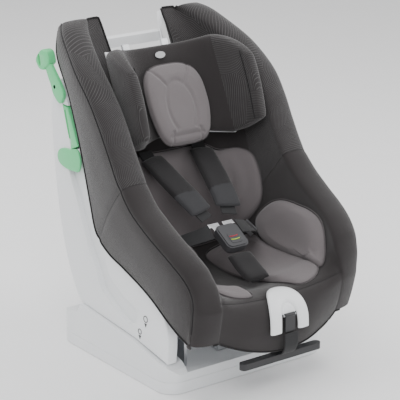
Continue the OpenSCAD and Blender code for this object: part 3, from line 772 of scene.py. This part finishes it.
def head_cover():
    rows, cols = 36, 72
    ins, outs = [], []
    for i in range(rows + 1):
        r = i / rows
        round_r = (1 - abs(2 * r - 1) ** 8) ** 0.5 if 0 < r < 1 else 0.0
        a, b = [], []
        for j in range(cols + 1):
            v = 2 * j / cols - 1
            p, q = head_point(r, v, 1), head_point(r, v, 0)
            mid = (p + q) / 2
            k = 0.45 + 0.5 * round_r
            seam = 1.0 - 0.10 * math.exp(-((abs(v) - WING) / 0.02) ** 2)
            a.append(mid + (p - mid) * k * seam)
            b.append(mid + (q - mid) * k)
        ins.append(a)
        outs.append(b)
    n = cols + 1
    verts = [slide(*p) for g in (ins, outs) for r in g for p in r]
    k = n * (rows + 1)
    faces, fm = [], []
    for i in range(rows):
        for j in range(cols):
            q = i * n + j
            v = abs(2 * (j + 0.5) / cols - 1)
            faces.append((q, q + 1, q + n + 1, q + n))
            fm.append(1 if v > WING else 0)
            faces.append((q + k, q + n + k, q + n + 1 + k, q + 1 + k))
            fm.append(1 if v > WING else 0)
        for j in (0, cols):
            q = i * n + j
            f = (q, q + n, q + n + k, q + k)
            faces.append(f if j == 0 else f[::-1])
            fm.append(1)
    for j in range(cols):
        for i in (0, rows):
            q = i * n + j
            f = (q, q + k, q + 1 + k, q + 1)
            faces.append(f if i == 0 else f[::-1])
            fm.append(0)
    obj = new_mesh("headrest_cloth", verts, faces, [PLAIN_OBJ, WAVE_OBJ], face_mats=fm)
    add(obj, "SUBSURF", levels=1, render_levels=1)
    apply_all(obj)
    return finish_piece(obj, "headrest", "cover_black", "headrest_cover")


head_cover()
for side, tag in ((-1, "left"), (1, "right")):
    seam = [slide(*head_point(0.05 + 0.9 * i / 30, side * WING, 0.86)) for i in range(31)]
    seam_line("wing_seam_" + tag, seam, "headrest")
    loop = [(0.12, 0.60), (0.10, 0.78), (0.16, 0.88), (0.32, 0.915), (0.55, 0.915), (0.74, 0.89),
            (0.86, 0.82), (0.90, 0.70), (0.915, 0.58)]
    loop = [spline(loop, k / 4) for k in range(4 * (len(loop) - 1) + 1)]
    seam_line("wing_panel_" + tag, [slide(*head_point(r, side * v, 0.93)) for r, v in loop], "headrest")
    edge = []
    for i in range(0, 41):
        r = i / 40
        edge.append(slide(*head_point(0.04 + 0.92 * r, side * 0.93, 1)))
    finish_piece(tube("wing_piping_" + tag, edge, 1.5, PIPE), "headrest", "cover_black")


def head_pillow_place(x, z, h):
    """A point over the headrest's inner face at side x and height z of the leaned frame, in cm."""
    x, z = x * 10, z * 10
    k = clamp(abs(x) / 80)
    return slide(x, -33.5 - h - 10 * k ** 3, z)


def pillow_dip(x, z):
    """Depth of the pillow's seams: an oval panel, two slanting seams above it and a band below."""
    if z > -2.2:
        oval = abs(math.hypot(x / 3.3, (z - 2.2) / 5.6) - 1) * 3.3
    else:
        oval = abs(abs(x) - 3.3 + (z + 2.2) * 0.1)
    seams = [oval]
    for sx in (-1, 1):
        t = ((x * sx - 2.2) * 0.55 + (z - 7.0) * 0.83)
        d = abs((x * sx - 2.2) * 0.83 - (z - 7.0) * 0.55)
        seams.append(math.hypot(d, min(0, t)))
    seams.append(abs(z + 3.4) if abs(x) < 4.2 else 9)
    return 3.2 * math.exp(-(min(seams) / 0.30) ** 2)


pillow_half = [(0, 11.6), (3.2, 11.4), (5.6, 10.2), (6.9, 7.6), (7.2, 3.6), (6.9, 0.2), (6.0, -3.0),
               (4.6, -4.6), (2.4, -5.0)]
pillow_outline = pillow_half + [(0, -5.05)] + [(-x, z) for x, z in pillow_half[:0:-1]]
pillow, rim = soft_pad("head_pillow_soft", pillow_outline, (0, 3.2), head_pillow_place, 19, low=5.0, rings=30,
                       per=10, crease=pillow_dip)
simulate(pillow, cap=1.5, voxel=0)
apply_sub(pillow)
finish_piece(pillow, "headrest", "insert_grey", "head_pillow")
finish_piece(tube("head_pillow_piping", rim, 1.2, GREY_SEAM, closed=True, sides=6), "headrest", "insert_grey")

# ---- Harness ----
SHOULDER = [(64, 70, 408), (63, 57, 396), (57, 28, 377.5), (51, -4, 358), (45, -31, 341.5), (39, -57, 325),
            (33, -78, 310.5), (28, -90, 301)]
REAR = [(64, 141, 428), (56, 134, 404), (44, 123, 370), (32, 112, 335), (20, 102.5, 303)]
LAP = [(33, -112, 281), (52, -106, 276), (78, -90, 266), (102, -66, 250), (118, -40, 234)]
CROTCH = [(0, -158, 245), (0, -170, 238.5), (0, -190, 227), (0, -210, 218), (0, -223, 212)]
TAIL = [(0, -321, 130), (0, -322, 118), (0, -321, 104), (0, -316, 92), (0, -308, 84)]
UNDER = [(0, 96.5, 268), (0, 82, 232), (0, 62, 192), (0, 36, 161), (0, 0, 147), (0, -70, 141), (0, -140, 144),
         (0, -196, 156), (0, -236, 168)]


def fine(path, n=24):
    P = [list(p) for p in path]
    return [Vector(spline(P, (len(P) - 1) * i / n)) for i in range(n + 1)]


def ribbon_grid(path, width, face, cols=10, sag=0.0, n=24):
    pts = fine(path, n)
    G = []
    for i, p in enumerate(pts):
        t = pts[min(n, i + 1)] - pts[max(0, i - 1)]
        w = Vector(face).cross(t).normalized()
        f = t.cross(w).normalized()
        G.append([p + w * width * (j / cols - 0.5) + f * sag * math.cos(math.pi * (j / cols - 0.5))
                  for j in range(cols + 1)])
    return G


def strap(name, path, width, face, lift, mirror=False, body="seat", nodes=(), thick=2.0, sag=0.0):
    G = ribbon_grid(path, width, face, sag=sag)
    G = lifted(G, lift + thick)
    if mirror:
        G = [[Vector((-p.x, p.y, p.z)) for p in r[::-1]] for r in G]
    obj = grid_mesh(name, G, WEB)
    add(obj, "SOLIDIFY", thickness=thick * MM, offset=-1)
    add(obj, "BEVEL", width=0.0005, segments=2, limit_method="ANGLE")
    apply_all(obj)
    return finish_piece(obj, body, "webbing", *nodes)


UPF = (0, -0.5, 0.86)
for mirror, tag in ((True, "left"), (False, "right")):
    strap("shoulder_web_" + tag, SHOULDER, 32, UPF, 0, mirror, nodes=["shoulder_strap_" + tag])
    strap("rear_web_" + tag, REAR, 32, (0, -1, 0.3), 0, mirror)
    strap("lap_web_" + tag, LAP[::-1], 32, (0, -0.6, 0.8), 0, mirror, nodes=["lap_strap_" + tag])
strap("crotch_web", CROTCH, 30, UPF, -9, nodes=["crotch_strap"])
strap("tail_web", TAIL, 32, (0, -1, 0), 0, nodes=["adjuster_strap"])
strap("under_web", UNDER, 32, (0, -0.3, 1), 0)


def harness_pad(name, path, width, lift, thick, mirror, node, slot="pad_black", taper=0.0, mesh_end=True):
    pts = fine(path, 30)

    def place(a, b, h):
        x, y = disc(a, b, 0.72)
        q = clamp((x + 1) / 2) * 30
        i = min(29, int(q))
        p = pts[i].lerp(pts[i + 1], q - i)
        t = (pts[i + 1] - pts[i])
        w = Vector(UPF).cross(t).normalized()
        f = t.cross(w).normalized()
        wide = width / 2 * (1 - taper * clamp((x + 1) / 2))
        r = p + w * y * wide + f * (lift + h)
        return Vector((-r.x, r.y, r.z)) if mirror else r

    obj = blob(name, place, thick, [PAD, MESH], 40, 16, power=5, low=2.5)
    for p in obj.data.polygons:
        c = p.center / MM
        if mesh_end and c.y < -44 and c.z > 0:
            p.material_index = 1
    add(obj, "SUBSURF", levels=2, render_levels=2)
    apply_all(obj)
    return finish_piece(obj, "seat", slot, node)


for mirror, tag in ((True, "left"), (False, "right")):
    path = [(p[0], p[1] - 2, p[2]) for p in SHOULDER[1:7]]
    harness_pad("shoulder_pad_soft_" + tag, path, 59, 2.6, 9.5, mirror, "shoulder_pad_" + tag)
harness_pad("crotch_pad_soft", CROTCH, 58, -6, 10, False, "crotch_pad", mesh_end=False)

# ---- Hard parts ----
BUCKLE_Y, BUCKLE_Z = -132, 268
BUCKLE_TILT = math.radians(31.4)


# Two lines across the buckle's button, dark red over lime.
def on_buckle(x, y, z):
    c, s = math.cos(BUCKLE_TILT), math.sin(BUCKLE_TILT)
    return Vector((x, BUCKLE_Y + c * y - s * z, BUCKLE_Z + s * y + c * z))


for name, y, mat in (("buckle_line_red", -3, RED), ("buckle_line_lime", -11, LIME)):
    strip = [on_buckle(x, y + 0.012 * x * x - 1, 10.9) for x in range(-10, 11, 2)]
    finish_piece(tube(name, strip, 0.9, mat), "buckle_button", "button_red")


# Front adjuster: a smooth horseshoe round a shallow recess, with the strap's slot at its foot.
def lip(x, u, lift):
    b, w = spline(FLOOR, u), floor_way(u)
    k = pad_at(u) + lift
    return Vector((x, b[0] + w[1] * k, b[1] - w[0] * k))


def shoe(a, q):
    """A point of the horseshoe; a goes round it from leg to leg and q from its inner edge to its outer."""
    c, s = math.cos(math.radians(a)), max(0.0, math.sin(math.radians(a)))
    ins, outs = (20 * c, 14.9 - 1.35 * s ** 0.7), (46 * c, 14.9 - 2.35 * s ** 0.7)
    return [i + (o - i) * q for i, o in zip(ins, outs)]


# Across the horseshoe: how far from its inner edge, and the height over the lip.
SHOE_ARCH = ((0.0, 9.4), (0.06, 11.4), (0.2, 12.6), (0.5, 13.0), (0.8, 12.4), (0.95, 11.0), (1.0, 8.8),
             (1.0, 7.0))
shoe_rows = []
for k in range(61):
    a = 3 * k
    row = [lip(*shoe(a, 0.02), 7.0)]
    row += [lip(*shoe(a, q), h) for q, h in SHOE_ARCH]
    shoe_rows.append(row)
n = len(shoe_rows[0])
faces = [(i * n + j, i * n + (j + 1) % n, (i + 1) * n + (j + 1) % n, (i + 1) * n + j)
         for i in range(60) for j in range(n)]
faces += [tuple(range(n)), tuple(range(60 * n, 61 * n))[::-1]]
horseshoe = new_mesh("adjuster_shoe", [v for r in shoe_rows for v in r], faces, WHITE)
finish_piece(shade(horseshoe, 50), "seat", "base_white", "adjuster_housing")
BOWL_FOOT = 14.35        # station at which the recess ends
bowl = []
for k in range(31):
    a = 6 * k
    x, u = shoe(a, 0.03)
    bowl.append([lip(x * (1 - t), u + max(0.0, BOWL_FOOT - u) * t, 8.6 - 3.0 * t ** 0.6)
                 for t in (0, 0.25, 0.5, 0.75, 1)])
faces = [(i * 5 + j, i * 5 + j + 1, i * 5 + j + 6, i * 5 + j + 5) for i in range(5, 25) for j in range(4)]
recess = new_mesh("adjuster_recess", [v for r in bowl for v in r], faces, WHITE)
add(recess, "SOLIDIFY", thickness=0.0012, offset=-1)
apply_all(recess)
finish_piece(recess, "seat", "base_white")

REPLACED = {"adjuster_housing"} | {kind + tag for tag in ("_left", "_right") for kind in (
    "side_frame", "frame_cheek", "belt_guide", "lockoff", "belt_hook")}
HARD = [n for n in frame["nodes"] if n not in REPLACED and node_slot[n] in (
    "base_white", "shell_white", "guide_green", "buckle_plastic", "button_red", "lever_black", "rail_steel",
    "bolt_steel", "tongue_steel")]
# Radius of the rounded edges, in mm, where it isn't 0.7.
EDGE = {"base_tray": 2.2, "base_shell": 3.0, "buckle_body": 1.6, "top_rail": 2.5}
for name in HARD:
    obj = frame["nodes"][name]
    if name in ("seat_shell", "headrest_frame"):
        add(obj, "WELD", merge_threshold=0.00005)
        for p in obj.data.polygons:
            p.use_smooth = True
        continue
    add(obj, "WELD", merge_threshold=0.00005)
    add(obj, "BEVEL", width=EDGE.get(name, 0.7) * MM, segments=3, limit_method="ANGLE", angle_limit=math.radians(35),
        use_clamp_overlap=True, harden_normals=False)


def plate(name, outline, x0, x1, edge, material, mirror=False):
    """A plate across X between x0 and x1 with rounded edges; outline is in Y and Z, in mm."""
    cu = bpy.data.curves.new(name, "CURVE")
    cu.dimensions = "2D"
    cu.fill_mode = "BOTH"
    cu.extrude = ((x1 - x0) / 2 - edge) * MM
    cu.bevel_depth = edge * MM
    cu.bevel_resolution = 3
    cu.offset = -edge * MM
    sp = cu.splines.new("POLY")
    sp.points.add(len(outline) - 1)
    for p, (y, z) in zip(sp.points, outline):
        p.co = (y * MM, z * MM, 0, 1)
    sp.use_cyclic_u = True
    temp = link(bpy.data.objects.new(name + "_curve", cu))
    me = bpy.data.meshes.new_from_object(temp.evaluated_get(bpy.context.evaluated_depsgraph_get()))
    bpy.data.objects.remove(temp)
    mid = (x0 + x1) / 2 * MM
    for v in me.vertices:
        y, z, x = v.co
        v.co = (-(x + mid) if mirror else x + mid, y, z)
    obj = link(bpy.data.objects.new(name, me))
    me.materials.clear()
    me.materials.append(material)
    bm = bmesh.new()
    bm.from_mesh(me)
    bmesh.ops.remove_doubles(bm, verts=bm.verts, dist=0.00002)
    bmesh.ops.recalc_face_normals(bm, faces=bm.faces)
    bm.to_mesh(me)
    bm.free()
    return obj


def cut(obj, *tools):
    for t in tools:
        add(obj, "BOOLEAN", operation="DIFFERENCE", object=t, solver="EXACT")
    apply_all(obj)
    for t in tools:
        bpy.data.objects.remove(t)
    add(obj, "BEVEL", width=0.0012, segments=2, limit_method="ANGLE", angle_limit=math.radians(50))
    apply_all(obj)
    return obj


FRAME_X = 192
UPRIGHT = [[118, 101], [133, 118], [152, 150], [173, 200], [190, 260], [202, 330], [210, 400],
           [214, 460], [212, 500], [205, 530], [192, 552], [174, 550], [162, 526], [148, 500], [130, 462],
           [114, 430], [104, 388], [84, 352], [50, 318], [27, 280], [-12, 252], [-58, 234], [-104, 214],
           [-142, 193], [-168, 166], [-182, 136], [-186, 108], [-182, 64], [-75, 83.4]]
CHANNEL = [[152, 374], [128, 322], [106, 272], [86, 226], [60, 190], [44, 156], [6, 131], [-34, 114],
           [-56, 109], [-74, 116], [-84, 130], [-80, 146], [-60, 153], [-28, 165], [2, 182], [16, 196],
           [30, 232], [40, 262], [70, 330], [92, 384], [108, 410], [140, 404]]
GUIDE = [[141, 419], [116, 431], [150, 503], [169.5, 505.5]]
PADDLE = [[112, 380], [134, 376], [160, 376], [182, 382], [190, 395], [184, 409], [166, 417], [140, 420],
          [116, 424], [106, 404]]
LEVER = [[217, 573], [202, 584], [188, 572], [172, 556], [162, 544], [154, 531], [160, 516], [168, 509],
         [179, 513], [193, 526], [200, 541], [211, 558]]
GUIDE_RECESS = [[141, 416], [108, 429], [146, 506], [171, 508]]
GUIDE_GROOVE = [[138, 427], [144, 425.5], [163, 496], [158, 497]]
HOOK_GROOVE = [[230, 577], [237, 576], [242, 594], [235, 597]]
UNDER_CHEEK = [[60, 262], [36, 262], [24, 236], [4, 200], [-40, 180], [-90, 158], [-90, 60], [60, 60]]
HOOK = [[250, 585], [240, 599], [226, 609], [211, 608], [204, 598], [202, 584.2], [217, 573.2], [221, 568],
        [236, 567], [246, 575]]
for mirror, tag in ((True, "left"), (False, "right")):
    def across(name, outline, x0, x1, edge, material):
        return plate(name, outline, FRAME_X + x0, FRAME_X + x1, edge, material, mirror)

    f = across("frame_" + tag, closed_spline(UPRIGHT, 6, (0, 27, 28)), -24, 0, 3.5, WHITE)
    cut(f, across("t1", closed_spline(CHANNEL, 5, ()), -12, 4, 0.4, WHITE),
        across("t2", GUIDE_RECESS, -14, 4, 0.4, WHITE),
        across("t3", closed_spline(UNDER_CHEEK, 2), -30, -13, 0.2, WHITE))
    finish_piece(shade(f), "base", "base_white", "side_frame_" + tag, "frame_cheek_" + tag)
    g = across("guide_" + tag, closed_spline(GUIDE, 4, (0, 1, 2, 3)), -13.6, 1.4, 1.6, GREEN)
    # The groove cutter carries the darker green of the painted shade in the groove.
    cut(g, across("t4", GUIDE_GROOVE, -4, 4, 0.3, GREEN_PAINTED_GROOVE_SHADE))
    finish_piece(shade(g), "base", "guide_green", "belt_guide_" + tag)
    paddle = across("paddle_" + tag, closed_spline(PADDLE, 6), -1, 3.4, 1.6, GREEN)
    finish_piece(shade(paddle), "base", "guide_green")
    k = across("lock_lever_" + tag, closed_spline(LEVER, 5), 0.6, 9, 2.2, GREEN)
    finish_piece(shade(k), "lockoff_" + tag, "guide_green", "lockoff_" + tag)
    h = across("hook_" + tag, closed_spline(HOOK, 5), -8, 12, 3.0, GREEN)
    # The groove cutter carries the darker green of the painted shade in the groove.
    cut(h, across("t5", closed_spline(HOOK_GROOVE, 4), 4, 15, 0.3, GREEN_PAINTED_GROOVE_SHADE))
    finish_piece(shade(h), "lockoff_" + tag, "guide_green", "belt_hook_" + tag)

# ---- Floor ----
corners = [Vector((x * 6000, y * 6000, 0)) for x, y in ((-1, -1), (1, -1), (1, 1), (-1, 1))]
floor_paint = plastic("floor_paint", (0.94, 0.94, 0.945), 0.7, spread=0.01)
floor = new_mesh("floor", corners, [(0, 1, 2, 3)], floor_paint)
floor.location.z = -0.0005
